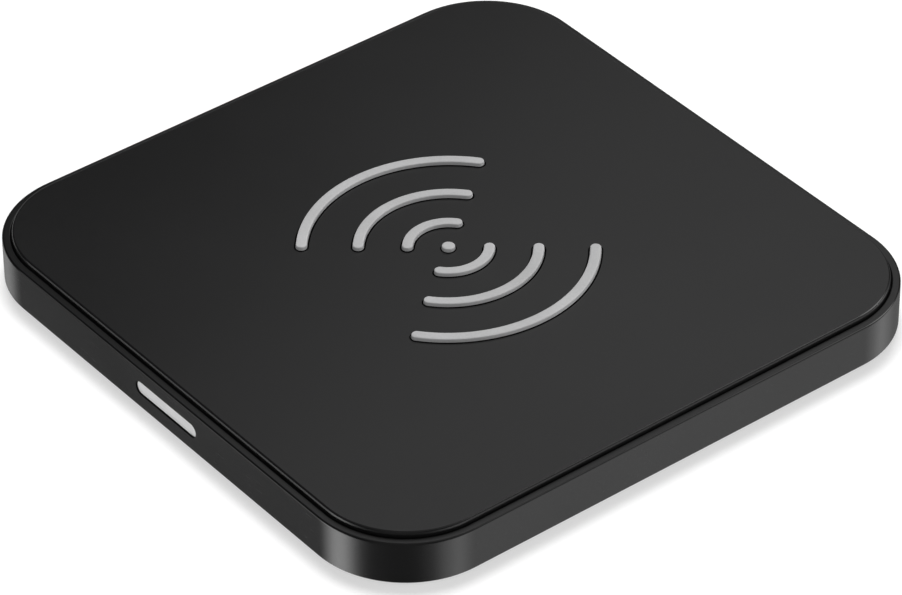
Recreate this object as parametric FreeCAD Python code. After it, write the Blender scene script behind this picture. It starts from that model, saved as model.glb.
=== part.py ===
"""Square wireless charging pad, 90 mm across, as separate pieces.

Millimetres, +Z up. The origin is the centre of the pad on the surface that its feet stand on.
The USB-C socket is in the +Y wall and the status light's window is in the -Y wall.
Each node is written to parts/NODE.step.
"""

import FreeCAD, Part
import math
import os

V = FreeCAD.Vector
Z = V(0, 0, 1)

# ---------------------------------------------------------------- driving dimensions, mm
W = 90.0  # outside of the square casing
R_CORNER = 13.57  # its corner radius in plan
Z_BODY = 0.30  # underside of casing and cover, lifted by the feet
Z_RIM = 6.40  # top of the casing's rim
Z_PLATE = 7.20  # top of the top plate
Z_GRIP = 7.75  # top of the soft grip inlays
WALL = 1.20  # casing wall
RIM_IN = 1.24  # rim's inner edge, in from the outside
RIM_FLAT = 0.94  # from the outside to where the rim starts to fall
RIM_DROP = 0.22  # how much lower the rim's inner edge lies than its outer edge
PLATE_IN = 1.34  # plate's side, in from the outside
LEDGE_IN = 4.00  # inner edge of the ledge that carries the plate
LEDGE_LOW, LEDGE_TOP = 4.60, 5.60
TAPE = 0.15  # adhesive ring under the plate
EDGE_OUT = 0.24  # fillet on the casing's upper outside edge
EDGE_LOW = 0.07  # fillet on the casing's lower outside edge
EDGE_PLATE = 0.17  # fillet on the plate's upper edge

GRIP_RADII = (5.27, 11.60, 18.90)  # centre lines of the arcs
GRIP_W = 1.40  # width of an arc
GRIP_HALF_DEG = 50.5  # from the arc's middle to the centre of its round end
GRIP_DEPTH = 0.60  # how deep an inlay sits in the plate
GRIP_GAP = 0.14  # gap round an inlay
GRIP_EDGE = 0.16  # fillet on an inlay's upper edge
DOT_R = 0.85

SLOT_W, SLOT_H, SLOT_Z = 12.7, 2.0, 3.35  # light window in the -Y wall
SLOT_BACK = 0.24  # how far its face is set back
COVER_GAP = 0.10
COVER_TOP = 1.50
SCREW_XY = 36.5  # housing screws and feet, from the centre
FOOT_R, FOOT_DEEP = 4.0, 0.50

PCB_LOW, PCB_TOP = 2.60, 3.40
PCB_HALF, PCB_R = 42.0, 11.0
PCB_HOLE_R = 27.0
POST_X, POST_Y = 39.0, 22.0

USB_W, USB_H, USB_L, USB_T = 8.94, 3.16, 7.30, 0.30  # receptacle shell
USB_MOUTH_W, USB_MOUTH_H = 8.34, 2.56  # standard opening
USB_Z = 3.20
USB_FRONT = W / 2 - 0.20  # its mouth lies just inside the wall's face

WIRE = 1.05  # coil wire
COIL_PITCH = 1.15
COIL_R0 = 10.84  # centre line at the inner end
COIL_HALF_TURNS = 19
COIL_Z = 5.02
LEAD_Z = PCB_TOP + WIRE / 2 + 0.005
FERRITE_R, FERRITE_LOW, FERRITE_TOP = 25.0, 3.50, 4.39

os.makedirs("parts", exist_ok=True)


# ---------------------------------------------------------------- helpers
def box(x0, x1, y0, y1, z0, z1):
    return Part.makeBox(x1 - x0, y1 - y0, z1 - z0, V(x0, y0, z0))


def cyl(x, y, z0, z1, r, axis=Z):
    return Part.makeCylinder(r, z1 - z0, V(x, y, z0), axis)


def rounded_wire(hx, hy, r, z):
    """A rounded rectangle's outline, half sizes hx and hy, at height z."""
    a, b = hx - r, hy - r
    k = r * math.sqrt(0.5)
    e = [
        Part.LineSegment(V(-a, -hy, z), V(a, -hy, z)),
        Part.Arc(V(a, -hy, z), V(a + k, -b - k, z), V(hx, -b, z)),
        Part.LineSegment(V(hx, -b, z), V(hx, b, z)),
        Part.Arc(V(hx, b, z), V(a + k, b + k, z), V(a, hy, z)),
        Part.LineSegment(V(a, hy, z), V(-a, hy, z)),
        Part.Arc(V(-a, hy, z), V(-a - k, b + k, z), V(-hx, b, z)),
        Part.LineSegment(V(-hx, b, z), V(-hx, -b, z)),
        Part.Arc(V(-hx, -b, z), V(-a - k, -b - k, z), V(-a, -hy, z)),
    ]
    return Part.Wire([c.toShape() for c in e])


def rounded_block(hx, hy, r, z0, z1):
    return Part.Face(rounded_wire(hx, hy, r, z0)).extrude(V(0, 0, z1 - z0))


def inset_block(d, z0, z1):
    """The casing's outline moved in by d, from z0 to z1."""
    return rounded_block(W / 2 - d, W / 2 - d, R_CORNER - d, z0, z1)


def inset_loft(d0, z0, d1, z1):
    """A block whose side leans from inset d0 at z0 to inset d1 at z1."""
    a = rounded_wire(W / 2 - d0, W / 2 - d0, R_CORNER - d0, z0)
    b = rounded_wire(W / 2 - d1, W / 2 - d1, R_CORNER - d1, z1)
    return Part.makeLoft([a, b], True, True)


def stadium(w, h, y0, y1, z, x=0.0):
    """A bar of stadium section (w wide, h high) along Y, centred on x and z."""
    r, a = h / 2, w / 2 - h / 2
    e = [
        Part.LineSegment(V(x - a, y0, z - r), V(x + a, y0, z - r)),
        Part.Arc(V(x + a, y0, z - r), V(x + a + r, y0, z), V(x + a, y0, z + r)),
        Part.LineSegment(V(x + a, y0, z + r), V(x - a, y0, z + r)),
        Part.Arc(V(x - a, y0, z + r), V(x - a - r, y0, z), V(x - a, y0, z - r)),
    ]
    return Part.Face(Part.Wire([c.toShape() for c in e])).extrude(V(0, y1 - y0, 0))


def arc_slab(radius, width, middle_deg, half_deg, z0, z1):
    """A curved bar with round ends about the pad's centre, from z0 to z1."""
    ro, ri, rc = radius + width / 2, radius - width / 2, width / 2
    m, h = math.radians(middle_deg), math.radians(half_deg)

    def p(r, t):
        return V(r * math.cos(t), r * math.sin(t), z0)

    def cap(t, s):
        """The tip of the round end at angle t."""
        c = p(radius, t)
        return c + V(-math.sin(t) * rc * s, math.cos(t) * rc * s, 0)

    e = [
        Part.Arc(p(ro, m - h), p(ro, m), p(ro, m + h)),
        Part.Arc(p(ro, m + h), cap(m + h, 1), p(ri, m + h)),
        Part.Arc(p(ri, m + h), p(ri, m), p(ri, m - h)),
        Part.Arc(p(ri, m - h), cap(m - h, -1), p(ro, m - h)),
    ]
    return Part.Face(Part.Wire([c.toShape() for c in e])).extrude(V(0, 0, z1 - z0))


def edges_at(shape, z, keep=None, tol=1e-4):
    """The edges that lie in the plane at z, those that keep() accepts."""
    out = []
    for e in shape.Edges:
        b = e.BoundBox
        if abs(b.ZMin - z) < tol and abs(b.ZMax - z) < tol:
            if keep is None or keep(e):
                out.append(e)
    return out


def fuse(*shapes):
    s = shapes[0].multiFuse(list(shapes[1:])) if len(shapes) > 1 else shapes[0]
    return s.removeSplitter()


def cut(shape, *tools):
    for t in tools:
        shape = shape.cut(t)
    return shape


def save(name, *solids):
    """Writes one solid, or a group of separate solids, as one node."""
    flat = []
    for s in solids:
        flat += s.Solids
    assert flat, name
    for s in flat:
        assert s.isValid() and s.Volume > 0, name
    if len(solids) == 1:
        assert len(flat) == 1, (name, len(flat))
    shape = flat[0] if len(flat) == 1 else Part.makeCompound(flat)
    shape.exportStep("parts/%s.step" % name)
    b = shape.BoundBox
    print(
        "%-26s %2d solid  %8.3f mm3  x %.2f %.2f  y %.2f %.2f  z %.2f %.2f"
        % (
            name,
            len(flat),
            sum(s.Volume for s in flat),
            b.XMin,
            b.XMax,
            b.YMin,
            b.YMax,
            b.ZMin,
            b.ZMax,
        )
    )


CORNERS = [(sx * SCREW_XY, sy * SCREW_XY) for sx in (-1, 1) for sy in (-1, 1)]
POSTS = [(sx * POST_X, sy * POST_Y) for sx in (-1, 1) for sy in (-1, 1)]

# ---------------------------------------------------------------- housing frame
frame = inset_block(0, Z_BODY, Z_RIM)
frame = frame.makeFillet(EDGE_OUT, edges_at(frame, Z_RIM))
frame = frame.makeFillet(EDGE_LOW, edges_at(frame, Z_BODY))
frame = cut(
    frame,
    inset_block(WALL, Z_BODY - 1, LEDGE_LOW),
    inset_block(LEDGE_IN, LEDGE_LOW - 1, LEDGE_TOP + 1),
    inset_block(RIM_IN, LEDGE_TOP, Z_RIM + 1),
    # the rim's top falls a little towards the plate
    inset_loft(RIM_FLAT, Z_RIM, RIM_IN + 0.10, Z_RIM - RIM_DROP - 0.02),
)
bosses = []
for x, y in CORNERS:
    bosses.append(cyl(x, y, 2.40, LEDGE_TOP, 2.75))
frame = fuse(frame, *bosses)
for x, y in CORNERS:
    frame = cut(frame, cyl(x, y, 2.0, LEDGE_TOP - 0.3, 1.0))
frame = cut(
    frame,
    stadium(SLOT_W, SLOT_H, -W / 2 - 1, -W / 2 + 3, SLOT_Z),
    stadium(USB_W + 0.16, USB_H + 0.16, W / 2 - WALL - 0.5, W / 2 + 1, USB_Z),
    box(-5.2, 5.2, 36.5, W / 2 - WALL, LEDGE_LOW - 0.5, 5.05),
)
save("housing_frame", frame)

# ---------------------------------------------------------------- top plate and its grip inlays
plate_low = LEDGE_TOP + TAPE
plate = inset_block(PLATE_IN, plate_low, Z_PLATE)
plate = plate.makeFillet(EDGE_PLATE, edges_at(plate, Z_PLATE))
grip_low = Z_PLATE - GRIP_DEPTH
names = ("inner", "middle", "outer")
grips = {}
for side, mid in (("left", 180.0), ("right", 0.0)):
    for nm, rad in zip(names, GRIP_RADII):
        # the light window's side is the front, so -X is left and +X is right
        g = arc_slab(rad, GRIP_W, mid, GRIP_HALF_DEG, grip_low, Z_GRIP)
        g = g.makeFillet(GRIP_EDGE, edges_at(g, Z_GRIP))
        grips["grip_arc_%s_%s" % (nm, side)] = g
        plate = cut(
            plate,
            arc_slab(
                rad, GRIP_W + 2 * GRIP_GAP, mid, GRIP_HALF_DEG, grip_low, Z_PLATE + 1
            ),
        )
dot = cyl(0, 0, grip_low, Z_GRIP, DOT_R)
dot = dot.makeFillet(GRIP_EDGE, edges_at(dot, Z_GRIP))
grips["grip_dot"] = dot
plate = cut(plate, cyl(0, 0, grip_low, Z_PLATE + 1, DOT_R + GRIP_GAP))
save("top_plate", plate)
for n in sorted(grips):
    save(n, grips[n])

tape = cut(
    inset_block(PLATE_IN + 0.3, LEDGE_TOP, plate_low),
    inset_block(LEDGE_IN - 0.1, LEDGE_TOP - 1, plate_low + 1),
)
save("plate_adhesive", tape)

# ---------------------------------------------------------------- bottom cover, feet, screws
cover = inset_block(WALL + COVER_GAP, Z_BODY, COVER_TOP)
cover = fuse(
    cover,
    *[cyl(x, y, COVER_TOP - 0.2, 2.40, 3.25) for x, y in CORNERS],
    *[cyl(x, y, COVER_TOP - 0.2, PCB_LOW, 1.5) for x, y in POSTS],
    *[cyl(x, y, COVER_TOP - 0.2, 3.90, 0.75) for x, y in POSTS]
)
for x, y in CORNERS:
    cover = cut(
        cover,
        cyl(x, y, Z_BODY - 1, Z_BODY + FOOT_DEEP, FOOT_R + 0.1),
        cyl(x, y, Z_BODY, 1.70, 1.95),
        cyl(x, y, Z_BODY, 3.0, 1.1),
    )
# a shallow raised ring in the cover locates the coil carrier
ring = cut(cyl(0, 0, COVER_TOP - 0.2, 2.1, 26.2), cyl(0, 0, 0, 3, 25.2))
cover = fuse(cover, ring)
save("bottom_cover", cover)

feet = []
for x, y in CORNERS:
    f = cyl(x, y, 0, Z_BODY + FOOT_DEEP, FOOT_R)
    f = f.makeFillet(0.15, edges_at(f, 0))
    feet.append(f)
save("rubber_feet", *feet)

screws = []
for x, y in CORNERS:
    s = fuse(cyl(x, y, 0.90, 1.70, 1.8), cyl(x, y, 1.5, 5.1, 0.95))
    s = cut(
        s,
        box(x - 1.0, x + 1.0, y - 0.2, y + 0.2, 0.8, 1.35),
        box(x - 0.2, x + 0.2, y - 1.0, y + 1.0, 0.8, 1.35),
    )
    screws.append(s)
save("housing_screws", *screws)

# ---------------------------------------------------------------- light guide, light shield, LEDs
y_face = -W / 2 + SLOT_BACK
y_wall = -W / 2 + WALL
guide = fuse(
    stadium(SLOT_W - 0.08, SLOT_H - 0.08, y_face, y_wall + 0.4, SLOT_Z),
    stadium(SLOT_W + 1.9, SLOT_H + 0.4, y_wall, y_wall + 0.7, SLOT_Z),
)
save("led_light_guide", guide)
led_y = -PCB_HALF + 0.55
save(
    "status_leds",
    *[
        box(x - 0.8, x + 0.8, led_y - 0.4, led_y + 0.4, PCB_TOP, PCB_TOP + 0.6)
        for x in (-3.0, 3.0)
    ]
)
shield = cut(
    box(-7.4, 7.4, -PCB_HALF + 0.1, -37.6, PCB_TOP, PCB_TOP + 1.1),
    box(-6.4, 6.4, -PCB_HALF - 1, -38.6, PCB_TOP - 1, PCB_TOP + 2),
)
save("led_light_shield", shield)

# ---------------------------------------------------------------- main board
pcb = rounded_block(PCB_HALF, PCB_HALF, PCB_R, PCB_LOW, PCB_TOP)
pcb = cut(
    pcb,
    cyl(0, 0, PCB_LOW - 1, PCB_TOP + 1, PCB_HOLE_R),
    *[cyl(x, y, PCB_LOW - 1, PCB_TOP + 1, 3.4) for x, y in CORNERS],
    *[cyl(x, y, PCB_LOW - 1, PCB_TOP + 1, 0.85) for x, y in POSTS],
    box(-4.65, 4.65, USB_FRONT - USB_L - 0.2, 50, PCB_LOW - 1, PCB_TOP + 1)
)
save("main_pcb", pcb)

# ---------------------------------------------------------------- USB-C receptacle
y0, y1 = USB_FRONT - USB_L, USB_FRONT
shell = stadium(USB_W, USB_H, y0, y1, USB_Z)
tabs = [
    box(s * 4.2 if s > 0 else -5.9, 5.9 if s > 0 else -4.2, y, y + 1.4, PCB_TOP, PCB_TOP + 0.3)
    for s in (-1, 1)
    for y in (y0 + 0.3, y0 + 3.4)
]
shell = fuse(shell, *tabs)
shell = cut(shell, stadium(USB_MOUTH_W, USB_MOUTH_H, y0 + USB_T, y1 + 1, USB_Z))
save("usb_c_shell", shell)
# the insulator's block fills the shell's back and carries the tongue
tongue = fuse(
    stadium(USB_MOUTH_W - 0.04, USB_MOUTH_H - 0.04, y0 + USB_T, y0 + 2.3, USB_Z),
    box(-3.345, 3.345, y0 + 2.2, y1 - 0.75, USB_Z - 0.35, USB_Z + 0.35),
)
save("usb_c_tongue", tongue)
pins = []
for i in range(12):
    x = (i - 5.5) * 0.5
    for s in (-1, 1):
        za, zb = sorted((USB_Z + s * 0.35, USB_Z + s * 0.43))
        pins.append(box(x - 0.125, x + 0.125, y0 + 2.3, y1 - 1.15, za, zb))
save("usb_c_contacts", *pins)


# ---------------------------------------------------------------- parts on the board
def chip(x, y, w, d, h, z=PCB_TOP):
    return box(x - w / 2, x + w / 2, y - d / 2, y + d / 2, z, z + h)


def chamfered_chip(x, y, w, d, h, c):
    b = chip(x, y, w, d, h)
    return b.makeChamfer(c, edges_at(b, PCB_TOP + h))


save("controller_ic", chamfered_chip(-18.0, 33.5, 5.0, 5.0, 0.85, 0.08))
save(
    "power_mosfets",
    chamfered_chip(-26.5, 31.0, 3.0, 3.0, 0.8, 0.08),
    chamfered_chip(-26.5, 35.5, 3.0, 3.0, 0.8, 0.08),
)
save("resonant_capacitors", *[chip(27.0, 27.5 + 2.4 * i, 3.2, 1.6, 1.6) for i in range(4)])
save("input_capacitors", *[chip(-9.5, 33.0 + 2.2 * i, 2.0, 1.25, 1.25) for i in range(3)])
coil_ind = chip(12.5, 34.5, 4.2, 4.2, 1.9)
coil_ind = coil_ind.makeFillet(
    0.5, [e for e in coil_ind.Edges if e.BoundBox.ZLength > 1.8]
)
save("power_inductor", coil_ind)
save("crystal", chamfered_chip(-18.0, 39.0, 3.2, 2.5, 0.7, 0.12))
resistors = []
for i in range(6):
    resistors.append(chip(-23.0 + 1.7 * i, 29.0, 0.5, 1.0, 0.35))
for i in range(4):
    resistors.append(chip(17.0 + 1.6 * i, 39.2, 0.5, 1.0, 0.35))
for x in (-5.0, 0.0, 5.0):
    resistors.append(chip(x, -34.5, 1.0, 0.5, 0.35))
save("chip_resistors", *resistors)
save("ntc_thermistor", chip(0, 28.6, 1.0, 0.5, 0.5))

# ---------------------------------------------------------------- coil, ferrite, carrier
half = COIL_PITCH / 2


def lead_drop(p, y_start, end_y):
    """A lead along +Y: straight to y_start, an S-bend down to LEAD_Z, straight to end_y."""
    drop = COIL_Z - LEAD_Z
    r = 2.0
    a = math.acos(1 - drop / (2 * r))
    run = 2 * r * math.sin(a)
    out = []
    q = V(p.x, y_start, COIL_Z)
    if (q - p).Length > 1e-6:
        out.append(Part.LineSegment(p, q).toShape())
    m = V(p.x, y_start + run / 2, COIL_Z - drop / 2)
    a1 = V(p.x, y_start + r * math.sin(a / 2), COIL_Z - r * (1 - math.cos(a / 2)))
    out.append(Part.Arc(q, a1, m).toShape())
    e = V(p.x, y_start + run, LEAD_Z)
    a2 = V(p.x, e.y - r * math.sin(a / 2), LEAD_Z + r * (1 - math.cos(a / 2)))
    out.append(Part.Arc(m, a2, e).toShape())
    out.append(Part.LineSegment(e, V(p.x, end_y, LEAD_Z)).toShape())
    return out


INNER_END_Y, OUTER_END_Y = 30.2, 23.2
p0 = V(-COIL_R0, 0, COIL_Z)
inner = lead_drop(p0, 1.0, INNER_END_Y)
spiral = []
x = -COIL_R0
for i in range(COIL_HALF_TURNS):
    nx = (abs(x) + half) * (1 if x < 0 else -1)
    mid_x, rad = (x + nx) / 2, abs(nx - x) / 2
    sy = -1 if x < 0 else 1
    spiral.append(
        Part.Arc(
            V(x, 0, COIL_Z), V(mid_x, sy * rad, COIL_Z), V(nx, 0, COIL_Z)
        ).toShape()
    )
    x = nx
outer = lead_drop(V(x, 0, COIL_Z), 15.0, OUTER_END_Y)
path = list(reversed(inner)) + spiral + outer
path_wire = Part.Wire(Part.__sortEdges__(path))
section = Part.Wire(
    [Part.Circle(V(-COIL_R0, INNER_END_Y, LEAD_Z), V(0, 1, 0), WIRE / 2).toShape()]
)
coil = path_wire.makePipeShell([section], True, False)
expected = math.pi * WIRE**2 / 4 * path_wire.Length
print("coil volume over section times length: %.4f" % (coil.Volume / expected))
save("charging_coil", coil)

slot_cut = box(
    -COIL_R0 - 0.85, -COIL_R0 + 0.85, -0.5, 40, LEAD_Z - WIRE / 2 - 0.15, COIL_Z - WIRE / 2
)
# the slot is open from the wire's S-bend outwards
ferrite = cut(cyl(0, 0, FERRITE_LOW, FERRITE_TOP, FERRITE_R), slot_cut)
save("ferrite_sheet", ferrite)
glue = cut(cyl(0, 0, FERRITE_TOP, FERRITE_TOP + 0.09, 22.4), slot_cut)
save("coil_adhesive", glue)

carrier = fuse(
    cut(cyl(0, 0, COVER_TOP, FERRITE_LOW, 24.9), cyl(0, 0, 1, 4, 21.5)),
    cut(cyl(0, 0, COVER_TOP, FERRITE_LOW, 9.0), cyl(0, 0, 1, 4, 5.0)),
    *[
        box(7.5, 22.5, -1.5, 1.5, COVER_TOP, FERRITE_LOW).rotate(V(0, 0, 0), Z, a)
        for a in (20, 80, 140, 200, 260, 320)
    ]
)
carrier = cut(
    carrier,
    box(-COIL_R0 - 0.85, -COIL_R0 + 0.85, -0.5, 40, LEAD_Z - WIRE / 2 - 0.15, 5.0),
)
save("coil_carrier", carrier)

# ---------------------------------------------------------------- heat path under the board
save("heat_spreader", rounded_block(9.0, 5.0, 1.0, COVER_TOP, COVER_TOP + 0.3).translated(V(-22.0, 33.0, 0)))
save("thermal_pad", rounded_block(6.5, 3.6, 0.5, COVER_TOP + 0.3, PCB_LOW).translated(V(-22.0, 33.0, 0)))
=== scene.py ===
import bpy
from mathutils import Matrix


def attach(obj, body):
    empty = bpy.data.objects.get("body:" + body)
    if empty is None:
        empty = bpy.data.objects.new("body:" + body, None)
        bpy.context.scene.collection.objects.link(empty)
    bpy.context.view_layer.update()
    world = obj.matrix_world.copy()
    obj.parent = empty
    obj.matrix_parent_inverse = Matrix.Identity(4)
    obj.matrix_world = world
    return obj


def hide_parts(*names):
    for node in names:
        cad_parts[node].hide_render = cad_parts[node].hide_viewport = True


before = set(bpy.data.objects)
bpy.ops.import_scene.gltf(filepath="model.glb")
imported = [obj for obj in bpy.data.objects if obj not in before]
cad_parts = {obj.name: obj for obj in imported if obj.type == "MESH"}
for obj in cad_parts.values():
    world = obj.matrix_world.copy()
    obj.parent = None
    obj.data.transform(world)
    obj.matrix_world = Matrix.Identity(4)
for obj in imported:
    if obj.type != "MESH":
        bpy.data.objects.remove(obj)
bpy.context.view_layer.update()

import math

import bmesh
import bpy
import numpy as np
from mathutils import Matrix, Vector

MM = 0.001
scene = bpy.context.scene
scene.view_settings.view_transform = "Standard"
scene.view_settings.look = "None"

# The pad's plan and heights, in millimetres, as in the CAD.
HALF, R_CORNER = 45.0, 13.57
Z_BODY, Z_RIM, Z_PLATE, Z_GRIP = 0.30, 6.40, 7.20, 7.75


# ------------------------------------------------------------------ camera
def make_camera():
    az, el, roll = math.radians(51.793), math.radians(37.562), math.radians(-0.339)
    back = Vector((math.sin(az) * math.cos(el), -math.cos(az) * math.cos(el), math.sin(el)))
    right = Vector((math.cos(az), math.sin(az), 0.0))
    up = back.cross(right)
    right2 = math.cos(roll) * right + math.sin(roll) * up
    up2 = -math.sin(roll) * right + math.cos(roll) * up
    data = bpy.data.cameras.new("camera")
    data.sensor_width = 36.0
    data.lens = 207.80
    data.clip_start, data.clip_end = 0.01, 50.0
    cam = bpy.data.objects.new("camera", data)
    scene.collection.objects.link(cam)
    m = Matrix((right2, up2, back)).transposed().to_4x4()
    m.translation = Vector((0.419484, -0.329816, 0.409633))
    cam.matrix_world = m
    scene.camera = cam


make_camera()


# ------------------------------------------------------------------ node helpers
class Tree:
    """A short way to write a node tree."""

    def __init__(self, owner):
        owner.use_nodes = True
        self.t = owner.node_tree
        self.t.nodes.clear()

    def add(self, kind, **props):
        n = self.t.nodes.new(kind)
        for k, v in props.items():
            setattr(n, k, v)
        return n

    def link(self, a, b):
        self.t.links.new(a, b)

    def put(self, socket, value):
        if isinstance(value, bpy.types.NodeSocket):
            self.link(value, socket)
        elif value is not None:
            socket.default_value = value

    def math(self, op, a, b=None, c=None, clamp=False):
        n = self.add("ShaderNodeMath", operation=op, use_clamp=clamp)
        for s, v in zip(n.inputs, (a, b, c)):
            self.put(s, v)
        return n.outputs[0]

    def vmath(self, op, a, b=None):
        n = self.add("ShaderNodeVectorMath", operation=op)
        self.put(n.inputs[0], a)
        self.put(n.inputs[1], b)
        return n.outputs["Value"] if op in ("LENGTH", "DOT_PRODUCT") else n.outputs["Vector"]

    def mix(self, fac, a, b, blend="MIX"):
        n = self.add("ShaderNodeMix", data_type="RGBA", blend_type=blend)
        self.put(n.inputs[0], fac)
        self.put(n.inputs[6], a)
        self.put(n.inputs[7], b)
        return n.outputs[2]

    def fmix(self, fac, a, b):
        n = self.add("ShaderNodeMix", data_type="FLOAT")
        self.put(n.inputs[0], fac)
        self.put(n.inputs[2], a)
        self.put(n.inputs[3], b)
        return n.outputs[0]

    def remap(self, v, a, b, c=0.0, d=1.0, smooth=True):
        n = self.add("ShaderNodeMapRange")
        n.interpolation_type = "SMOOTHSTEP" if smooth else "LINEAR"
        for s, x in zip(n.inputs, (v, a, b, c, d)):
            self.put(s, x)
        return n.outputs[0]

    def ramp(self, v, stops, interpolation="LINEAR"):
        n = self.add("ShaderNodeValToRGB")
        n.color_ramp.interpolation = interpolation
        e = n.color_ramp.elements
        while len(e) > 1:
            e.remove(e[-1])
        e[0].position = stops[0][0]
        e[0].color = stops[0][1] if len(stops[0][1]) == 4 else (*stops[0][1], 1)
        for p, c in stops[1:]:
            x = e.new(p)
            x.color = c if len(c) == 4 else (*c, 1)
        self.put(n.inputs[0], v)
        return n.outputs[0]

    def coords(self):
        """The piece's own coordinates, in millimetres."""
        c = self.add("ShaderNodeTexCoord").outputs["Object"]
        n = self.add("ShaderNodeVectorMath", operation="SCALE")
        self.put(n.inputs[0], c)
        n.inputs["Scale"].default_value = 1000.0
        return n.outputs["Vector"]

    def noise(self, vec, per_mm, detail=3.0, rough=0.55, distort=0.0):
        n = self.add("ShaderNodeTexNoise")
        self.put(n.inputs["Vector"], vec)
        n.inputs["Scale"].default_value = per_mm
        n.inputs["Detail"].default_value = detail
        n.inputs["Roughness"].default_value = rough
        n.inputs["Distortion"].default_value = distort
        return n.outputs["Fac"]

    def cells(self, vec, per_mm, feature="F1", out="Distance"):
        n = self.add("ShaderNodeTexVoronoi", feature=feature)
        self.put(n.inputs["Vector"], vec)
        n.inputs["Scale"].default_value = per_mm
        return n.outputs[out]

    def squash(self, vec, x, y, z):
        n = self.add("ShaderNodeVectorMath", operation="MULTIPLY")
        self.put(n.inputs[0], vec)
        n.inputs[1].default_value = (x, y, z)
        return n.outputs["Vector"]

    def bump(self, height, distance_mm, strength=1.0, normal=None):
        n = self.add("ShaderNodeBump")
        n.inputs["Strength"].default_value = strength
        n.inputs["Distance"].default_value = distance_mm * MM
        self.put(n.inputs["Height"], height)
        if normal is not None:
            self.put(n.inputs["Normal"], normal)
        return n.outputs["Normal"]

    def inset(self, vec):
        """How far a point lies inside the casing's outline in plan, in mm."""
        a = self.vmath("ABSOLUTE", vec)
        s = self.add("ShaderNodeVectorMath", operation="SUBTRACT")
        self.put(s.inputs[0], a)
        s.inputs[1].default_value = (HALF - R_CORNER, HALF - R_CORNER, 1e4)
        m = self.add("ShaderNodeVectorMath", operation="MAXIMUM")
        self.put(m.inputs[0], s.outputs[0])
        m.inputs[1].default_value = (0, 0, 0)
        return self.math("SUBTRACT", R_CORNER, self.vmath("LENGTH", m.outputs[0]))

    def sep(self, vec):
        n = self.add("ShaderNodeSeparateXYZ")
        self.put(n.inputs[0], vec)
        return n.outputs

    def principled(self, **values):
        p = self.add("ShaderNodeBsdfPrincipled")
        names = {
            "base": "Base Color",
            "rough": "Roughness",
            "metal": "Metallic",
            "normal": "Normal",
            "ior": "IOR",
            "coat": "Coat Weight",
            "coat_rough": "Coat Roughness",
            "sheen": "Sheen Weight",
            "sheen_rough": "Sheen Roughness",
            "sss": "Subsurface Weight",
            "sss_scale": "Subsurface Scale",
            "sss_radius": "Subsurface Radius",
            "trans": "Transmission Weight",
            "emit": "Emission Color",
            "emit_strength": "Emission Strength",
            "aniso": "Anisotropic",
        }
        for k, v in values.items():
            self.put(p.inputs[names[k]], v)
        out = self.add("ShaderNodeOutputMaterial")
        self.link(p.outputs[0], out.inputs["Surface"])
        return p


def grey(v):
    return (v, v, v, 1)


MATS = {}


def material(name):
    def wrap(f):
        m = bpy.data.materials.new(name)
        t = Tree(m)
        f(t)
        MATS[name] = m
        return f

    return wrap


# ------------------------------------------------------------------ materials
def moulded(t, low, high, rough, bump_um, tint=(1, 1, 1), edge_zs=(), grain=6.0, wear=0.35, scuffs=True, rough_zs=()):
    """Fine-grained moulded plastic: mottled tone, grain bump, edges a little paler and smoother where hands rub."""
    p = t.coords()
    broad = t.noise(p, 0.035, 3, 0.5)
    fine = t.noise(p, 1.6, 4, 0.6)
    speck = t.noise(p, grain, 2, 0.5)
    tone = t.math("ADD", t.math("MULTIPLY", broad, 0.5), t.math("MULTIPLY", fine, 0.3))
    tone = t.math("ADD", tone, t.math("MULTIPLY", speck, 0.2))
    a = tuple(low * c for c in tint)
    b = tuple(high * c for c in tint)
    colour = t.ramp(tone, [(0.30, a), (0.70, b)])
    z = t.sep(p)[2]
    mask = None
    for z0, half_band, d0, d1 in edge_zs:
        near = t.remap(t.math("ABSOLUTE", t.math("SUBTRACT", z, z0)), 0.0, half_band, 1.0, 0.0)
        d = t.inset(p)
        ring = t.remap(t.math("ABSOLUTE", t.math("SUBTRACT", d, d0)), 0.0, d1, 1.0, 0.0)
        m = t.math("MULTIPLY", near, ring)
        mask = m if mask is None else t.math("MAXIMUM", mask, m)
    r = t.math("ADD", t.math("MULTIPLY", t.math("SUBTRACT", broad, 0.5), 0.10), rough)
    r = t.math("ADD", r, t.math("MULTIPLY", t.math("SUBTRACT", fine, 0.5), 0.08))
    for z0, z1, more in rough_zs:
        # surfaces above z1 are rougher (or smoother) than those below z0
        r = t.math("ADD", r, t.math("MULTIPLY", t.remap(z, z0, z1), more))
    if mask is not None:
        broken = t.math("MULTIPLY", mask, t.remap(t.noise(p, 0.5, 4, 0.65), 0.42, 0.66))
        colour = t.mix(t.math("MULTIPLY", broken, wear), colour, (*[high * 2.4 * c for c in tint], 1))
        r = t.math("SUBTRACT", r, t.math("MULTIPLY", broken, 0.08))
    h = t.math("ADD", t.math("MULTIPLY", speck, 0.7), t.math("MULTIPLY", t.noise(p, grain * 2.7, 2), 0.3))
    if scuffs:
        # a few hair-fine rub marks
        s = t.noise(t.squash(p, 0.25, 5.0, 5.0), 0.9, 2, 0.5, 0.6)
        s = t.remap(s, 0.70, 0.74)
        r = t.math("ADD", r, t.math("MULTIPLY", s, 0.05))
    n = t.bump(h, bump_um * 0.001)
    return t.principled(base=colour, rough=r, normal=n, ior=1.5)


@material("casing_satin_black")
def _(t):
    moulded(t, 0.0022, 0.0034, 0.24, 0.8, tint=(1, 1, 1.03), grain=9.0,
            edge_zs=((Z_RIM - 0.05, 0.22, 0.0, 0.3), (Z_BODY, 0.2, 0.0, 0.3)), wear=0.10,
            rough_zs=((Z_RIM - 0.29, Z_RIM - 0.24, -0.10), (Z_RIM - 0.035, Z_RIM - 0.005, 0.21)))


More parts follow.
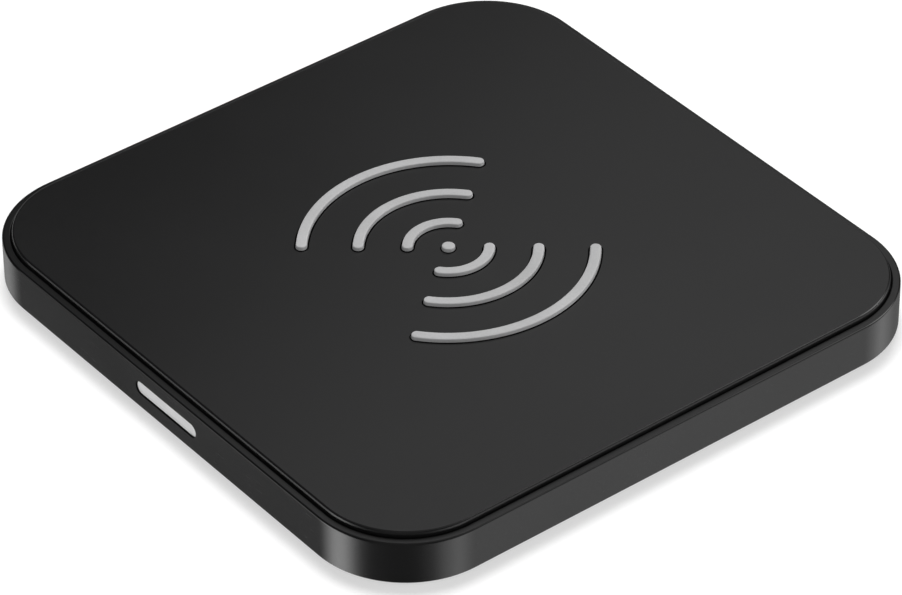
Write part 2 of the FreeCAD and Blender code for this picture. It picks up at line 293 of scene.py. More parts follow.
# near-black matt for the slot and socket walls; on the inlays' roots and in the plate's grooves it is painted shade in
# the gaps
@material("recess_matt_black_and_painted_shade")
def _(t):
    p = t.coords()
    fine = t.noise(p, 8.0, 3, 0.6)
    colour = t.ramp(fine, [(0.3, (0.0015, 0.0015, 0.0016)), (0.7, (0.0035, 0.0035, 0.0036))])
    t.principled(base=colour, rough=t.math("ADD", 0.75, t.math("MULTIPLY", fine, 0.2)), normal=t.bump(fine, 0.004), ior=1.2)


@material("plate_matt_black")
def _(t):
    moulded(t, 0.0030, 0.0048, 0.33, 1.6, tint=(1, 1, 1.03), grain=5.0,
            edge_zs=((Z_PLATE - 0.05, 0.2, 1.5, 0.3),), wear=0.10,
            rough_zs=((Z_PLATE - 0.26, Z_PLATE - 0.20, -0.12), (Z_PLATE - 0.03, Z_PLATE - 0.004, 0.12)))


@material("cover_textured_black")
def _(t):
    moulded(t, 0.014, 0.022, 0.62, 14.0, tint=(1, 1, 1.02), grain=2.6,
            edge_zs=((Z_BODY, 0.2, 1.3, 0.4),), wear=0.5)


@material("grip_silicone_grey")
def _(t):
    p = t.coords()
    broad = t.noise(p, 0.12, 3, 0.5)
    fine = t.noise(p, 3.5, 4, 0.6)
    speck = t.noise(p, 11.0, 2, 0.5)
    tone = t.math("ADD", t.math("MULTIPLY", broad, 0.55), t.math("MULTIPLY", fine, 0.45))
    colour = t.ramp(tone, [(0.32, (0.328, 0.328, 0.330)), (0.68, (0.408, 0.408, 0.411))])
    # the sides are darkened low down, where they meet the plate: painted shade at the join
    z = t.sep(p)[2]
    low = t.remap(z, Z_PLATE - 0.10, Z_PLATE + 0.10, 1.0, 0.0)
    colour = t.mix(t.math("MULTIPLY", low, 0.35), colour, (0.20, 0.20, 0.205, 1))
    r = t.math("ADD", 0.50, t.math("MULTIPLY", fine, 0.16))
    h = t.math("ADD", t.math("MULTIPLY", speck, 0.6), t.math("MULTIPLY", fine, 0.4))
    t.principled(base=colour, rough=r, normal=t.bump(h, 0.004), ior=1.42, sheen=0.05,
                 sheen_rough=0.5, sss=0.08, sss_scale=0.0006, sss_radius=(1, 1, 1))


@material("light_guide_milky")
def _(t):
    p = t.coords()
    fine = t.noise(p, 2.2, 4, 0.6)
    speck = t.noise(p, 9.0, 2, 0.5)
    flow = t.noise(t.squash(p, 0.35, 1, 2.2), 0.8, 3, 0.5)
    tone = t.math("ADD", t.math("MULTIPLY", flow, 0.6), t.math("MULTIPLY", fine, 0.4))
    colour = t.ramp(tone, [(0.3, (0.665, 0.665, 0.665)), (0.7, (0.755, 0.755, 0.755))])
    r = t.math("ADD", 0.30, t.math("MULTIPLY", speck, 0.16))
    t.principled(base=colour, rough=r, normal=t.bump(t.math("ADD", speck, fine), 0.003), ior=1.49,
                 sss=0.35, sss_scale=0.0008, sss_radius=(1, 1, 1))


@material("foot_rubber")
def _(t):
    p = t.coords()
    broad = t.noise(p, 0.3, 3, 0.5)
    fine = t.noise(p, 4.0, 4, 0.6)
    colour = t.ramp(t.math("ADD", t.math("MULTIPLY", broad, 0.5), t.math("MULTIPLY", fine, 0.5)),
                    [(0.3, (0.022, 0.022, 0.023)), (0.7, (0.040, 0.040, 0.041))])
    low = t.remap(t.sep(p)[2], 0.0, 0.12, 1.0, 0.0)
    colour = t.mix(t.math("MULTIPLY", low, t.remap(fine, 0.45, 0.7)), colour, (0.07, 0.07, 0.068, 1))
    h = t.math("ADD", t.noise(p, 7.0, 3), t.math("MULTIPLY", t.cells(p, 3.0), 0.5))
    t.principled(base=colour, rough=t.math("ADD", 0.72, t.math("MULTIPLY", fine, 0.15)),
                 normal=t.bump(h, 0.02), ior=1.5)


def metal(name, a, b, rough, brushed=(0.3, 6, 6), bump_um=3.0, oxide=None):
    @material(name)
    def _(t):
        p = t.coords()
        streak = t.noise(t.squash(p, *brushed), 3.0, 4, 0.6)
        blot = t.noise(p, 0.6, 3, 0.5)
        fine = t.noise(p, 12.0, 2, 0.5)
        tone = t.math("ADD", t.math("MULTIPLY", streak, 0.6), t.math("MULTIPLY", blot, 0.4))
        colour = t.ramp(tone, [(0.3, a), (0.7, b)])
        if oxide:
            colour = t.mix(t.math("MULTIPLY", t.remap(blot, 0.5, 0.7), 0.5), colour, (*oxide, 1))
        r = t.math("ADD", rough, t.math("MULTIPLY", t.math("SUBTRACT", streak, 0.5), 0.25))
        h = t.math("ADD", t.math("MULTIPLY", streak, 0.8), t.math("MULTIPLY", fine, 0.2))
        t.principled(base=colour, rough=r, metal=1.0, normal=t.bump(h, bump_um * 0.001))


metal("nickel_plate", (0.52, 0.51, 0.49), (0.66, 0.65, 0.62), 0.28, (0.5, 6, 6), 2.0, (0.42, 0.40, 0.36))
metal("gold_plate", (0.78, 0.55, 0.22), (0.92, 0.68, 0.32), 0.24, (6, 0.4, 6), 1.5)
metal("screw_black_zinc", (0.05, 0.05, 0.052), (0.11, 0.11, 0.115), 0.36, (4, 4, 1), 3.0, (0.16, 0.15, 0.13))
metal("spreader_aluminium", (0.62, 0.63, 0.64), (0.78, 0.79, 0.80), 0.34, (0.3, 6, 6), 3.0)
metal("crystal_lid", (0.62, 0.60, 0.54), (0.76, 0.74, 0.68), 0.26, (0.6, 5, 5), 2.0)


@material("board_solder_mask")
def _(t):
    p = t.coords()
    x, y, z = t.sep(p)
    broad = t.noise(p, 0.2, 3, 0.5)
    # copper runs under the mask: blocks of parallel tracks whose direction changes from cell to cell
    cell = t.cells(t.squash(p, 1, 1, 0), 0.16, out="Color")
    pick = t.math("GREATER_THAN", t.sep(cell)[0], 0.5)
    along = t.math("ADD", t.math("MULTIPLY", x, pick), t.math("MULTIPLY", y, t.math("SUBTRACT", 1.0, pick)))
    wave = t.math("ABSOLUTE", t.math("SUBTRACT", t.math("FRACT", t.math("MULTIPLY", along, 1.1)), 0.5))
    track = t.remap(wave, 0.20, 0.26)
    weave = t.noise(t.squash(p, 9, 9, 1), 0.6, 2, 0.5)
    colour = t.mix(track, (0.008, 0.085, 0.034, 1), (0.018, 0.165, 0.066, 1))
    colour = t.mix(t.remap(broad, 0.35, 0.7), colour, (0.012, 0.115, 0.047, 1))
    # the cut edge shows pale glass fibre
    side = t.math("MULTIPLY", t.remap(z, 2.60, 2.68), t.remap(z, 3.32, 3.40, 1.0, 0.0))
    colour = t.mix(t.math("MULTIPLY", side, 0.8), colour, (0.36, 0.34, 0.20, 1))
    h = t.math("ADD", t.math("MULTIPLY", track, 0.8), t.math("MULTIPLY", weave, 0.15))
    r = t.math("ADD", 0.26, t.math("MULTIPLY", broad, 0.14))
    t.principled(base=colour, rough=r, normal=t.bump(h, 0.03), coat=0.3, coat_rough=0.15)


@material("chip_epoxy")
def _(t):
    p = t.coords()
    fine = t.noise(p, 7.0, 4, 0.65)
    broad = t.noise(p, 0.7, 2)
    colour = t.ramp(t.math("ADD", t.math("MULTIPLY", fine, 0.6), t.math("MULTIPLY", broad, 0.4)),
                    [(0.3, (0.016, 0.016, 0.018)), (0.7, (0.034, 0.034, 0.037))])
    t.principled(base=colour, rough=t.math("ADD", 0.48, t.math("MULTIPLY", fine, 0.2)), normal=t.bump(fine, 0.01))


def fired(name, a, b, tin, rough=0.42, axis=0, body=None):
    """A fired chip part: ceramic body with tinned ends, as the solid's own cells can't be read the ends follow a speckled tone."""

    @material(name)
    def _(t):
        p = t.coords()
        fine = t.noise(p, 6.0, 4, 0.6)
        broad = t.noise(p, 0.9, 2)
        speck = t.cells(p, 9.0)
        tone = t.math("ADD", t.math("MULTIPLY", fine, 0.6), t.math("MULTIPLY", broad, 0.4))
        colour = t.ramp(tone, [(0.3, a), (0.7, b)])
        colour = t.mix(t.remap(speck, 0.0, 0.25, 0.35, 0.0), colour, (*tin, 1))
        t.principled(base=colour, rough=t.math("ADD", rough, t.math("MULTIPLY", fine, 0.2)),
                     normal=t.bump(t.math("ADD", fine, speck), 0.01))


fired("capacitor_ceramic", (0.34, 0.23, 0.13), (0.44, 0.31, 0.19), (0.5, 0.42, 0.33))
fired("resistor_film", (0.018, 0.018, 0.022), (0.040, 0.040, 0.046), (0.10, 0.10, 0.11))
fired("thermistor_body", (0.05, 0.08, 0.065), (0.09, 0.13, 0.11), (0.2, 0.2, 0.19))
fired("inductor_powder", (0.060, 0.060, 0.064), (0.115, 0.115, 0.12), (0.22, 0.21, 0.20), 0.55)
fired("ferrite_sintered", (0.030, 0.030, 0.033), (0.062, 0.062, 0.066), (0.11, 0.11, 0.115), 0.5)


@material("led_package")
def _(t):
    p = t.coords()
    fine = t.noise(p, 5.0, 3, 0.6)
    x, y, z = t.sep(p)
    top = t.remap(z, 3.93, 3.99)
    colour = t.ramp(fine, [(0.3, (0.72, 0.70, 0.62)), (0.7, (0.82, 0.80, 0.72))])
    colour = t.mix(t.math("MULTIPLY", top, 0.8), colour, (0.78, 0.66, 0.20, 1))
    t.principled(base=colour, rough=t.math("ADD", 0.22, t.math("MULTIPLY", fine, 0.2)), normal=t.bump(fine, 0.006),
                 sss=0.2, sss_scale=0.0005)


@material("shield_foam")
def _(t):
    p = t.coords()
    pores = t.cells(p, 4.5)
    fine = t.noise(p, 6.0, 3)
    colour = t.ramp(t.math("ADD", t.math("MULTIPLY", pores, 0.6), t.math("MULTIPLY", fine, 0.4)),
                    [(0.1, (0.006, 0.006, 0.006)), (0.6, (0.030, 0.030, 0.031))])
    t.principled(base=colour, rough=t.math("ADD", 0.85, t.math("MULTIPLY", fine, 0.1)), normal=t.bump(pores, 0.12))


@material("adhesive_film")
def _(t):
    p = t.coords()
    fibre = t.noise(t.squash(p, 1, 4, 1), 1.4, 4, 0.65)
    blot = t.noise(p, 0.3, 3)
    colour = t.ramp(t.math("ADD", t.math("MULTIPLY", fibre, 0.6), t.math("MULTIPLY", blot, 0.4)),
                    [(0.3, (0.50, 0.48, 0.40)), (0.7, (0.66, 0.64, 0.56))])
    t.principled(base=colour, rough=t.math("ADD", 0.35, t.math("MULTIPLY", blot, 0.25)), normal=t.bump(fibre, 0.02))


@material("coil_copper_litz")
def _(t):
    # fine strands laid with a slow twist round the bundle, and their clear enamel
    p = t.coords()
    x, y, z = t.sep(p)
    rad = t.vmath("LENGTH", t.squash(p, 1, 1, 0))
    ang = t.math("ARCTAN2", y, x)
    turn = t.math("FRACT", t.math("DIVIDE", t.math("SUBTRACT", rad, t.math("MULTIPLY", ang, 0.183)), 1.15))
    twist = t.math("ADD", t.math("MULTIPLY", ang, 26.0), t.math("ADD", t.math("MULTIPLY", turn, 9.0), t.math("MULTIPLY", z, 8.0)))
    strands = t.math("ABSOLUTE", t.math("SINE", t.math("MULTIPLY", twist, 3.0)))
    fine = t.noise(p, 5.0, 3, 0.6)
    blot = t.noise(p, 0.5, 3)
    colour = t.ramp(t.math("ADD", t.math("MULTIPLY", strands, 0.7), t.math("MULTIPLY", fine, 0.3)),
                    [(0.15, (0.20, 0.065, 0.022)), (0.75, (0.62, 0.27, 0.115))])
    colour = t.mix(t.math("MULTIPLY", t.remap(blot, 0.5, 0.75), 0.4), colour, (0.42, 0.15, 0.06, 1))
    r = t.math("ADD", 0.26, t.math("MULTIPLY", fine, 0.16))
    t.principled(base=colour, rough=r, metal=0.9, normal=t.bump(strands, 0.035), coat=0.4, coat_rough=0.2)


@material("carrier_moulding")
def _(t):
    p = t.coords()
    fine = t.noise(p, 3.0, 4, 0.6)
    flow = t.noise(t.squash(p, 0.5, 1, 1), 0.25, 3, 0.5, 0.6)
    colour = t.ramp(t.math("ADD", t.math("MULTIPLY", fine, 0.4), t.math("MULTIPLY", flow, 0.6)),
                    [(0.3, (0.55, 0.55, 0.53)), (0.7, (0.66, 0.66, 0.64))])
    t.principled(base=colour, rough=t.math("ADD", 0.42, t.math("MULTIPLY", fine, 0.2)), normal=t.bump(fine, 0.012),
                 sss=0.05, sss_scale=0.0006)


@material("thermal_silicone")
def _(t):
    p = t.coords()
    fine = t.noise(p, 4.0, 4, 0.7)
    grit = t.cells(p, 7.0)
    colour = t.ramp(t.math("ADD", t.math("MULTIPLY", fine, 0.6), t.math("MULTIPLY", grit, 0.4)),
                    [(0.2, (0.18, 0.25, 0.33)), (0.7, (0.29, 0.37, 0.46))])
    t.principled(base=colour, rough=t.math("ADD", 0.6, t.math("MULTIPLY", fine, 0.2)), normal=t.bump(grit, 0.03))


@material("usb_insulator")
def _(t):
    p = t.coords()
    fine = t.noise(p, 6.0, 4, 0.6)
    broad = t.noise(p, 0.8, 2)
    colour = t.ramp(t.math("ADD", t.math("MULTIPLY", fine, 0.5), t.math("MULTIPLY", broad, 0.5)),
                    [(0.3, (0.012, 0.012, 0.013)), (0.7, (0.028, 0.028, 0.030))])
    t.principled(base=colour, rough=t.math("ADD", 0.38, t.math("MULTIPLY", fine, 0.2)), normal=t.bump(fine, 0.006))


# ------------------------------------------------------------------ mesh helpers
def outline(d, n=24):
    """Points round the casing's outline moved in by d, in mm, anticlockwise from the +X side."""
    r, a = R_CORNER - d, HALF - R_CORNER
    pts = []
    for k, (sx, sy) in enumerate(((1, 1), (-1, 1), (-1, -1), (1, -1))):
        for i in range(n + 1):
            t = math.pi / 2 * (k + i / n)
            pts.append((sx * a + r * math.cos(t), sy * a + r * math.sin(t)))
    return pts


def fillet(d0, z0, d1, z1, cd, cz, n=7):
    """Points of a quarter round from (d0, z0) to (d1, z1) about (cd, cz)."""
    a0, a1 = math.atan2(z0 - cz, d0 - cd), math.atan2(z1 - cz, d1 - cd)
    if a1 - a0 > math.pi:
        a1 -= 2 * math.pi
    if a0 - a1 > math.pi:
        a1 += 2 * math.pi
    r = math.hypot(d0 - cd, z0 - cz)
    return [(cd + r * math.cos(a0 + (a1 - a0) * i / n), cz + r * math.sin(a0 + (a1 - a0) * i / n)) for i in range(n + 1)]


def new_object(name, verts, faces):
    me = bpy.data.meshes.new(name)
    me.from_pydata([tuple(c * MM for c in v) for v in verts], [], faces)
    me.validate()
    bm = bmesh.new()
    bm.from_mesh(me)
    bmesh.ops.recalc_face_normals(bm, faces=bm.faces)
    bm.to_mesh(me)
    bm.free()
    ob = bpy.data.objects.new(name, me)
    scene.collection.objects.link(ob)
    return ob


def rings_mesh(rings, close_profile, cap_first=False, cap_last=False):
    """Verts and faces of a tube of rings, each a list of 3-D points with the same count."""
    n, verts, faces = len(rings[0]), [], []
    for r in rings:
        verts += r
    m = len(rings)
    for i in range(m if close_profile else m - 1):
        a, b = i * n, ((i + 1) % m) * n
        for j in range(n):
            k = (j + 1) % n
            faces.append((a + j, a + k, b + k, b + j))
    if cap_first:
        faces.append(tuple(range(n)))
    if cap_last:
        faces.append(tuple((m - 1) * n + j for j in range(n)))
    return verts, faces


def swept(name, profile, closed, n=24, caps=False):
    rings = [[(x, y, z) for x, y in outline(d, n)] for d, z in profile]
    v, f = rings_mesh(rings, closed, caps, caps)
    return new_object(name, v, f)


def shade(ob, angle=35.0, weighted=True):
    me = ob.data
    for p in me.polygons:
        p.use_smooth = True
    me.set_sharp_from_angle(angle=math.radians(angle))
    if weighted:
        w = ob.modifiers.new("weighted", "WEIGHTED_NORMAL")
        w.mode = "FACE_AREA"
        w.weight = 100
        w.keep_sharp = True
        apply_all(ob)
    return ob


def apply_all(ob):
    dg = bpy.context.evaluated_depsgraph_get()
    me = bpy.data.meshes.new_from_object(ob.evaluated_get(dg), depsgraph=dg)
    old = ob.data
    ob.modifiers.clear()
    ob.data = me
    me.name = ob.name
    bpy.data.meshes.remove(old)


def carve(ob, cutters, operation="DIFFERENCE"):
    """Cuts (or joins) the cutters and takes them away."""
    for c in cutters:
        m = ob.modifiers.new("cut", "BOOLEAN")
        m.operation = operation
        m.solver = "EXACT"
        m.object = c
        apply_all(ob)
        old = c.data
        bpy.data.objects.remove(c)
        bpy.data.meshes.remove(old)
    me = ob.data
    bm = bmesh.new()
    bm.from_mesh(me)
    bmesh.ops.remove_doubles(bm, verts=bm.verts, dist=1e-7)
    bmesh.ops.dissolve_degenerate(bm, edges=bm.edges, dist=1e-7)
    bm.to_mesh(me)
    bm.free()


def stadium_ring(w, h, y, zc, n=20, xc=0.0):
    r, a = h / 2, w / 2 - h / 2
    pts = []
    for i in range(n + 1):
        t = -math.pi / 2 + math.pi * i / n
        pts.append((xc + a + r * math.cos(t), y, zc + r * math.sin(t)))
    for i in range(n + 1):
        t = math.pi / 2 + math.pi * i / n
        pts.append((xc - a + r * math.cos(t), y, zc + r * math.sin(t)))
    return pts


def stadium_bar(name, stations, zc, n=20):
    """A solid through stations of (width, height, y)."""
    v, f = rings_mesh([stadium_ring(w, h, y, zc, n) for w, h, y in stations], False, True, True)
    return new_object(name, v, f)


def finish_piece(ob, mat, node, names=None):
    ob.data.materials.clear()
    ob.data.materials.append(MATS[mat])
    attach(ob, "root")
    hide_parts(*([node] if isinstance(node, str) else node))
    return ob


# ------------------------------------------------------------------ casing
def make_casing():
    prof = []
    prof += fillet(0.07, Z_BODY, 0.0, Z_BODY + 0.07, 0.07, Z_BODY + 0.07, 4)
    prof += fillet(0.0, Z_RIM - 0.30, 0.30, Z_RIM, 0.30, Z_RIM - 0.30, 10)
    prof += [(0.45, Z_RIM), (0.86, Z_RIM)]
    prof += fillet(0.92, Z_RIM, 1.24, Z_RIM - 0.32, 0.92, Z_RIM - 0.32, 8)
    prof += [(1.24, 5.62), (1.26, 5.60), (3.95, 5.60), (4.0, 5.55), (4.0, 4.65), (3.95, 4.60), (1.2, 4.60), (1.2, 0.36), (1.14, Z_BODY)]
    body = swept("casing_shell", prof, True)
    # the light slot and the socket's opening, each with a small broken edge at the face
    slot = stadium_bar(
        "cut_slot",
        [(12.7 + 0.14, 2.0 + 0.14, -45.05), (12.7 + 0.06, 2.0 + 0.06, -45.0), (12.7, 2.0, -44.96), (12.7, 2.0, -43.0)],
        3.35, 28,
    )
    port = stadium_bar(
        "cut_port",
        [(9.10 + 0.50, 3.32 + 0.50, 45.1), (9.10 + 0.30, 3.32 + 0.30, 45.0), (9.10, 3.32, 44.85), (9.10, 3.32, 43.0)],
        3.20, 28,
    )
    hx, y0, y1, z0, z1 = 5.2, 36.5, 43.8, 4.1, 5.05
    v = [(x, y, z) for x in (-hx, hx) for y in (y0, y1) for z in (z0, z1)]
    f = [(0, 1, 3, 2), (4, 6, 7, 5), (0, 4, 5, 1), (2, 3, 7, 6), (0, 2, 6, 4), (1, 5, 7, 3)]
    notch = new_object("cut_notch", v, f)
    carve(body, [slot, port, notch])
    # screw bosses: tubes that hang from the ledge
    bosses = []
    for sx in (-1, 1):
        for sy in (-1, 1):
            rings = []
            for r, z in ((1.0, 5.3), (1.0, 2.5), (1.1, 2.4), (2.65, 2.4), (2.75, 2.5), (2.75, 5.45)):
                rings.append([(sx * 36.5 + r * math.cos(2 * math.pi * i / 40), sy * 36.5 + r * math.sin(2 * math.pi * i / 40), z) for i in range(40)])
            v, f = rings_mesh(rings, False, True, True)
            bosses.append(new_object("boss", v, f))
    carve(body, bosses, "UNION")
    shade(body, 32)
    finish_piece(body, "casing_satin_black", "housing_frame")
    body.data.materials.append(MATS["recess_matt_black_and_painted_shade"])
    for p in body.data.polygons:
        c, n = p.center / MM, p.normal
        slot_wall = c.y < -43.7 and abs(c.x) < 6.7 and 2.2 < c.z < 4.5
        port_wall = c.y > 43.7 and abs(c.x) < 5.0 and 1.2 < c.z < 5.1
        if (slot_wall or port_wall) and abs(n.y) < 0.6:
            p.material_index = 1
    return body


# ------------------------------------------------------------------ top plate and grips
GRIPS = (("inner", 5.27), ("middle", 11.60), ("outer", 18.90))
GRIP_W, GRIP_HALF, GRIP_LOW = 1.40, math.radians(50.5), 6.60


def arc_ring(radius, width, mid, z, grow=0.0, n=48, m=14):
    """Outline of a round-ended curved bar, with the counts of its long sides and its ends."""
    w = width / 2 + grow
    ro, ri = radius + w, radius - w
    pts = []
    for i in range(n + 1):
        t = mid - GRIP_HALF + 2 * GRIP_HALF * i / n
        pts.append((ro * math.cos(t), ro * math.sin(t), z))
    c, t = mid + GRIP_HALF, 0
    cx, cy = radius * math.cos(c), radius * math.sin(c)
    for i in range(1, m):
        t = c + math.pi * i / m
        pts.append((cx + w * math.cos(t), cy + w * math.sin(t), z))
    for i in range(n + 1):
        t = mid + GRIP_HALF - 2 * GRIP_HALF * i / n
        pts.append((ri * math.cos(t), ri * math.sin(t), z))
    c = mid - GRIP_HALF
    cx, cy = radius * math.cos(c), radius * math.sin(c)
    for i in range(1, m):
        t = c + math.pi + math.pi * i / m
        pts.append((cx + w * math.cos(t), cy + w * math.sin(t), z))
    return pts


def arc_solid(name, radius, mid, stations, n=48, m=14):
    """A curved bar through stations of (grow, z), with quads across its flat faces."""
    rings = [arc_ring(radius, GRIP_W, mid, z, g, n, m) for g, z in stations]
    v, f = rings_mesh(rings, False)
    count = len(rings[0])
    for base in (0, (len(rings) - 1) * count):
        o = list(range(base, base + n + 1))
        e1 = list(range(base + n + 1, base + n + m))
        i = list(range(base + n + m, base + 2 * n + m + 1))
        e2 = list(range(base + 2 * n + m + 1, base + count))
        for k in range(n):
            f.append((o[k], o[k + 1], i[n - k - 1], i[n - k]))
        f.append((o[n], *e1, i[0]))
        f.append((i[n], *e2, o[0]))
    return new_object(name, v, f)


def grip_stations(z_top, edge):
    st = [(0.05, GRIP_LOW), (0.05, Z_PLATE + 0.03), (0.0, z_top - edge)]
    k = 6
    for j in range(1, k + 1):
        a = math.pi / 2 * j / k
        st.append((-edge * (1 - math.cos(a)), z_top - edge * (1 - math.sin(a)) - 0.012))
    st.append((-edge - 0.12, z_top - 0.004))
    st.append((-0.45, z_top))
    return st


def painted_shade_root(ob):
    """The part of an inlay that sits down in its groove takes the near-black matt material: painted shade in the gap
    round the inlay.
    """
    ob.data.materials.append(MATS["recess_matt_black_and_painted_shade"])
    for p in ob.data.polygons:
        if p.center.z / MM < Z_PLATE + 0.02:
            p.material_index = 1
    return ob


def make_grips():
    out = []
    for side, mid in (("left", math.pi), ("right", 0.0)):
        for nm, rad in GRIPS:
            ob = arc_solid("grip_%s_%s" % (nm, side), rad, mid, grip_stations(Z_GRIP, 0.17))
            shade(ob, 50)
            finish_piece(ob, "grip_silicone_grey", "grip_arc_%s_%s" % (nm, side))
            out.append(painted_shade_root(ob))
    st = grip_stations(Z_GRIP, 0.17)
    rings = [[((0.85 + max(g, -0.6)) * math.cos(2 * math.pi * i / 48), (0.85 + max(g, -0.6)) * math.sin(2 * math.pi * i / 48), z) for i in range(48)] for g, z in st]
    v, f = rings_mesh(rings, False, True, True)
    ob = new_object("grip_centre", v, f)
    shade(ob, 50)
    finish_piece(ob, "grip_silicone_grey", "grip_dot")
    out.append(painted_shade_root(ob))
    return out


def make_plate():
    prof = [(1.46, 5.75), (1.34, 5.87), (1.34, 6.05), (1.262, 6.14), (1.262, 6.74), (1.269, 6.79), (1.285, 6.845),
            (1.305, 6.90), (1.324, 6.96), (1.345, 7.01), (1.372, 7.055), (1.405, 7.095), (1.445, 7.13), (1.49, 7.16),
            (1.54, 7.185), (1.59, 7.20)]
    body = swept("plate_shell", prof, False, caps=True)
    cuts = []
    gap = 0.24
    for mid in (math.pi, 0.0):
        for nm, rad in GRIPS:
            st = [(gap, GRIP_LOW), (gap, Z_PLATE - 0.05), (gap + 0.03, Z_PLATE), (gap + 0.06, Z_PLATE + 0.05)]
            cuts.append(arc_solid("cut_arc", rad, mid, st))
    rings = [[(r * math.cos(2 * math.pi * i / 48), r * math.sin(2 * math.pi * i / 48), z) for i in range(48)]
             for r, z in ((1.04, GRIP_LOW), (1.04, Z_PLATE - 0.05), (1.07, Z_PLATE), (1.10, Z_PLATE + 0.05))]
    v, f = rings_mesh(rings, False, True, True)
    cuts.append(new_object("cut_dot", v, f))
    carve(body, cuts)
    shade(body, 32)
    finish_piece(body, "plate_matt_black", "top_plate")
    # the groove faces under the inlays take the matt black, darker than the plate: painted shade in the gaps round the
    # inlays
    body.data.materials.append(MATS["recess_matt_black_and_painted_shade"])
    for p in body.data.polygons:
        c = p.center / MM
        if math.hypot(c.x, c.y) < 21 and GRIP_LOW - 0.01 < c.z < Z_PLATE - 0.06:
            p.material_index = 1
    return body


def make_guide():
    zc = 3.35
    st = [(12.44, 1.74, -44.79), (12.53, 1.83, -44.78), (12.60, 1.90, -44.75), (12.62, 1.92, -44.69), (12.62, 1.92, -43.82),
          (14.50, 2.30, -43.82), (14.60, 2.40, -43.77), (14.60, 2.40, -43.15), (14.50, 2.30, -43.10)]
    ob = stadium_bar("light_guide", st, zc, 28)
    shade(ob, 40)
    return finish_piece(ob, "light_guide_milky", "led_light_guide")


make_casing()
make_plate()
make_grips()
make_guide()

# ------------------------------------------------------------------ carried-over CAD nodes
CAD_MATS = {
    "bottom_cover": "cover_textured_black",
    "rubber_feet": "foot_rubber",
    "housing_screws": "screw_black_zinc",
    "plate_adhesive": "adhesive_film",
    "coil_adhesive": "adhesive_film",
    "status_leds": "led_package",
    "led_light_shield": "shield_foam",
    "main_pcb": "board_solder_mask",
    "usb_c_shell": "nickel_plate",
    "usb_c_tongue": "usb_insulator",
    "usb_c_contacts": "gold_plate",
    "controller_ic": "chip_epoxy",
    "power_mosfets": "chip_epoxy",
    "resonant_capacitors": "capacitor_ceramic",
    "input_capacitors": "capacitor_ceramic",
    "power_inductor": "inductor_powder",
    "crystal": "crystal_lid",
    "chip_resistors": "resistor_film",
    "ntc_thermistor": "thermistor_body",
    "charging_coil": "coil_copper_litz",
    "ferrite_sheet": "ferrite_sintered",
    "coil_carrier": "carrier_moulding",
    "heat_spreader": "spreader_aluminium",
    "thermal_pad": "thermal_silicone",
}
for node, mat in CAD_MATS.items():
    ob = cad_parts[node]
    for s in ob.material_slots:
        s.material = MATS[mat]
    if not ob.material_slots:
        ob.data.materials.append(MATS[mat])


# ------------------------------------------------------------------ floor
def make_floor():
    me = bpy.data.meshes.new("floor")
    s = 4.0
    me.from_pydata([(-s, -s, 0), (s, -s, 0), (s, s, 0), (-s, s, 0)], [], [(0, 1, 2, 3)])
    ob = bpy.data.objects.new("floor", me)
    scene.collection.objects.link(ob)
    m = bpy.data.materials.new("floor_pale")
    t = Tree(m)
    d = t.add("ShaderNodeBsdfDiffuse")
    d.inputs["Color"].default_value = grey(0.50)
    e = t.add("ShaderNodeEmission")
    e.inputs["Color"].default_value = grey(1.0)
    e.inputs["Strength"].default_value = 0.495
    add = t.add("ShaderNodeAddShader")
    t.link(d.outputs[0], add.inputs[0])
    t.link(e.outputs[0], add.inputs[1])
    clear = t.add("ShaderNodeBsdfTransparent")
    mix = t.add("ShaderNodeMixShader")
    t.link(t.add("ShaderNodeNewGeometry").outputs["Backfacing"], mix.inputs[0])
    t.link(add.outputs[0], mix.inputs[1])
    t.link(clear.outputs[0], mix.inputs[2])
    out = t.add("ShaderNodeOutputMaterial")
    t.link(mix.outputs[0], out.inputs["Surface"])
    me.materials.append(m)
    ob.visible_glossy = False


make_floor()


# ------------------------------------------------------------------ studio
# What the glossy walls mirror, by direction round the pad in degrees from +X: upright strip lights in a dark room.
STRIPS = [(-180, 0.80), (-166, 0.82), (-156, 0.33), (-146, 0.10), (-138, 0.12), (-128, 1.42), (-120, 3.3), (-111, 4.0), (-102, 3.05), (-94, 1.1),
          (-85, 0.24), (-72, 0.17), (-30, 0.15), (-12, 0.38), (4, 1.36), (18, 1.98), (30, 1.16), (40, 0.62), (52, 0.98), (70, 1.42),
          (84, 0.74), (98, 0.33), (114, 0.22), (130, 0.22), (148, 0.47), (160, 0.37), (172, 0.56), (180, 0.80)]


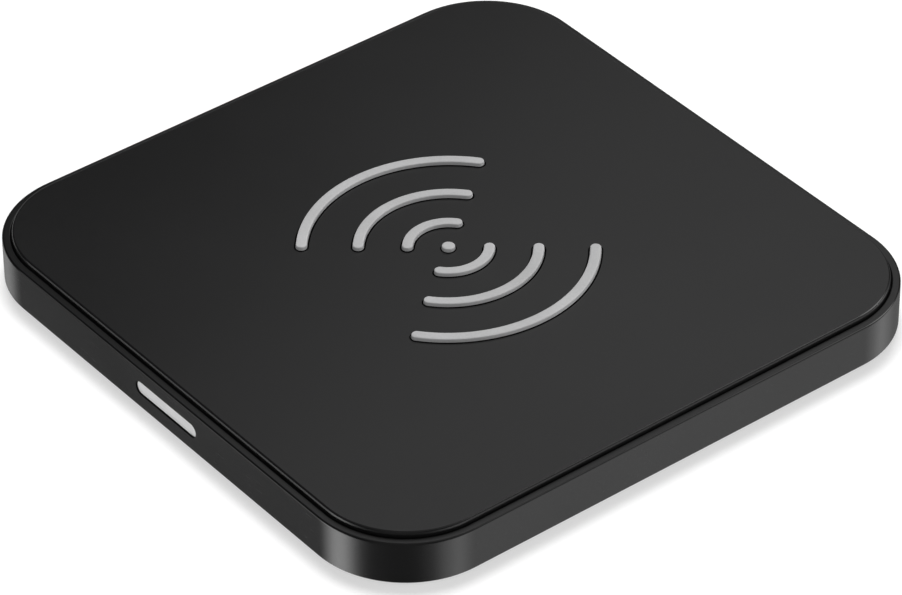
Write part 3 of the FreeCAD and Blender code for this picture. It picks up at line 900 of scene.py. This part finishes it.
def make_world():
    w = bpy.data.worlds.new("studio")
    scene.world = w
    t = Tree(w)
    direction = t.add("ShaderNodeTexCoord").outputs["Generated"]
    x, y, z = t.sep(direction)
    turn = t.math("ADD", t.math("DIVIDE", t.math("ARCTAN2", y, x), 2 * math.pi), 0.5)
    low = t.ramp(turn, [((d + 180.0) / 360.0, grey(v / 5.0)) for d, v in STRIPS], "EASE")
    # the strips stop just above the horizon; higher up the room is dark but for a faint ceiling
    ceiling = t.ramp(z, [(0.0, grey(0.004)), (0.55, grey(0.008)), (0.85, grey(0.05)), (1.0, grey(0.05))], "EASE")
    # three soft glows: high at the back right, low at the front right, and a brighter one at the back
    for toward, a, b, level in (((0.42, 0.58, 0.70), 0.62, 0.95, 0.085), ((0.683, -0.683, 0.26), 0.80, 0.98, 0.045),
                                ((0.36, 0.76, 0.54), 0.92, 0.985, 0.66)):
        dot = t.add("ShaderNodeVectorMath", operation="DOT_PRODUCT")
        t.link(direction, dot.inputs[0])
        dot.inputs[1].default_value = toward
        ceiling = t.mix(t.remap(dot.outputs["Value"], a, b), ceiling, grey(level))
    gloss = t.mix(t.remap(z, -0.06, 0.10), low, ceiling)
    path = t.add("ShaderNodeLightPath")
    seen = t.mix(path.outputs["Is Glossy Ray"], grey(0.30), gloss)
    seen = t.mix(path.outputs["Is Camera Ray"], seen, grey(1.0))
    strength = t.math("ADD", 1.0, t.math("MULTIPLY", path.outputs["Is Glossy Ray"], 4.0))
    bg = t.add("ShaderNodeBackground")
    t.link(seen, bg.inputs["Color"])
    t.link(strength, bg.inputs["Strength"])
    out = t.add("ShaderNodeOutputWorld")
    t.link(bg.outputs[0], out.inputs["Surface"])


make_world()


def area(name, loc, target, size_x, size_y, power, diffuse=True, glossy=True, spin=0.0):
    data = bpy.data.lights.new(name, "AREA")
    data.shape = "RECTANGLE"
    data.size, data.size_y = size_x, size_y
    data.energy = power
    ob = bpy.data.objects.new(name, data)
    scene.collection.objects.link(ob)
    ob.location = loc
    ob.rotation_mode = "QUATERNION"
    turn = Matrix.Rotation(math.radians(spin), 3, "Z").to_quaternion()
    ob.rotation_quaternion = turn @ (Vector(target) - Vector(loc)).to_track_quat("-Z", "Y")
    ob.visible_camera = False
    ob.visible_diffuse = diffuse
    ob.visible_glossy = glossy
    return ob


def around(azimuth, elevation, distance):
    a, e = math.radians(azimuth), math.radians(elevation)
    return (distance * math.cos(a) * math.cos(e), distance * math.sin(a) * math.cos(e), distance * math.sin(e))


# key from behind and above, with a soft-edged short shadow towards the viewer; low fill from the front
area("key", around(142, 70, 1.5), (0, 0, 0), 0.50, 0.50, 20.5, glossy=False)
area("fill", around(-38, 22, 1.2), (0, 0, 0), 0.80, 0.50, 4.0, glossy=False)
# a low light from the right shapes the sides of the inlays
area("side", around(58, 5.0, 1.2), (0, 0, 0.007), 0.40, 0.16, 7.4, glossy=False)
# softbox that the flat top mirrors: close behind, so that its sheen falls off towards the near left
area("softbox", (-0.127, 0.205, 0.257), (-0.127, 0.205, 0.0), 0.27, 0.34, 0.211, diffuse=False, spin=24)
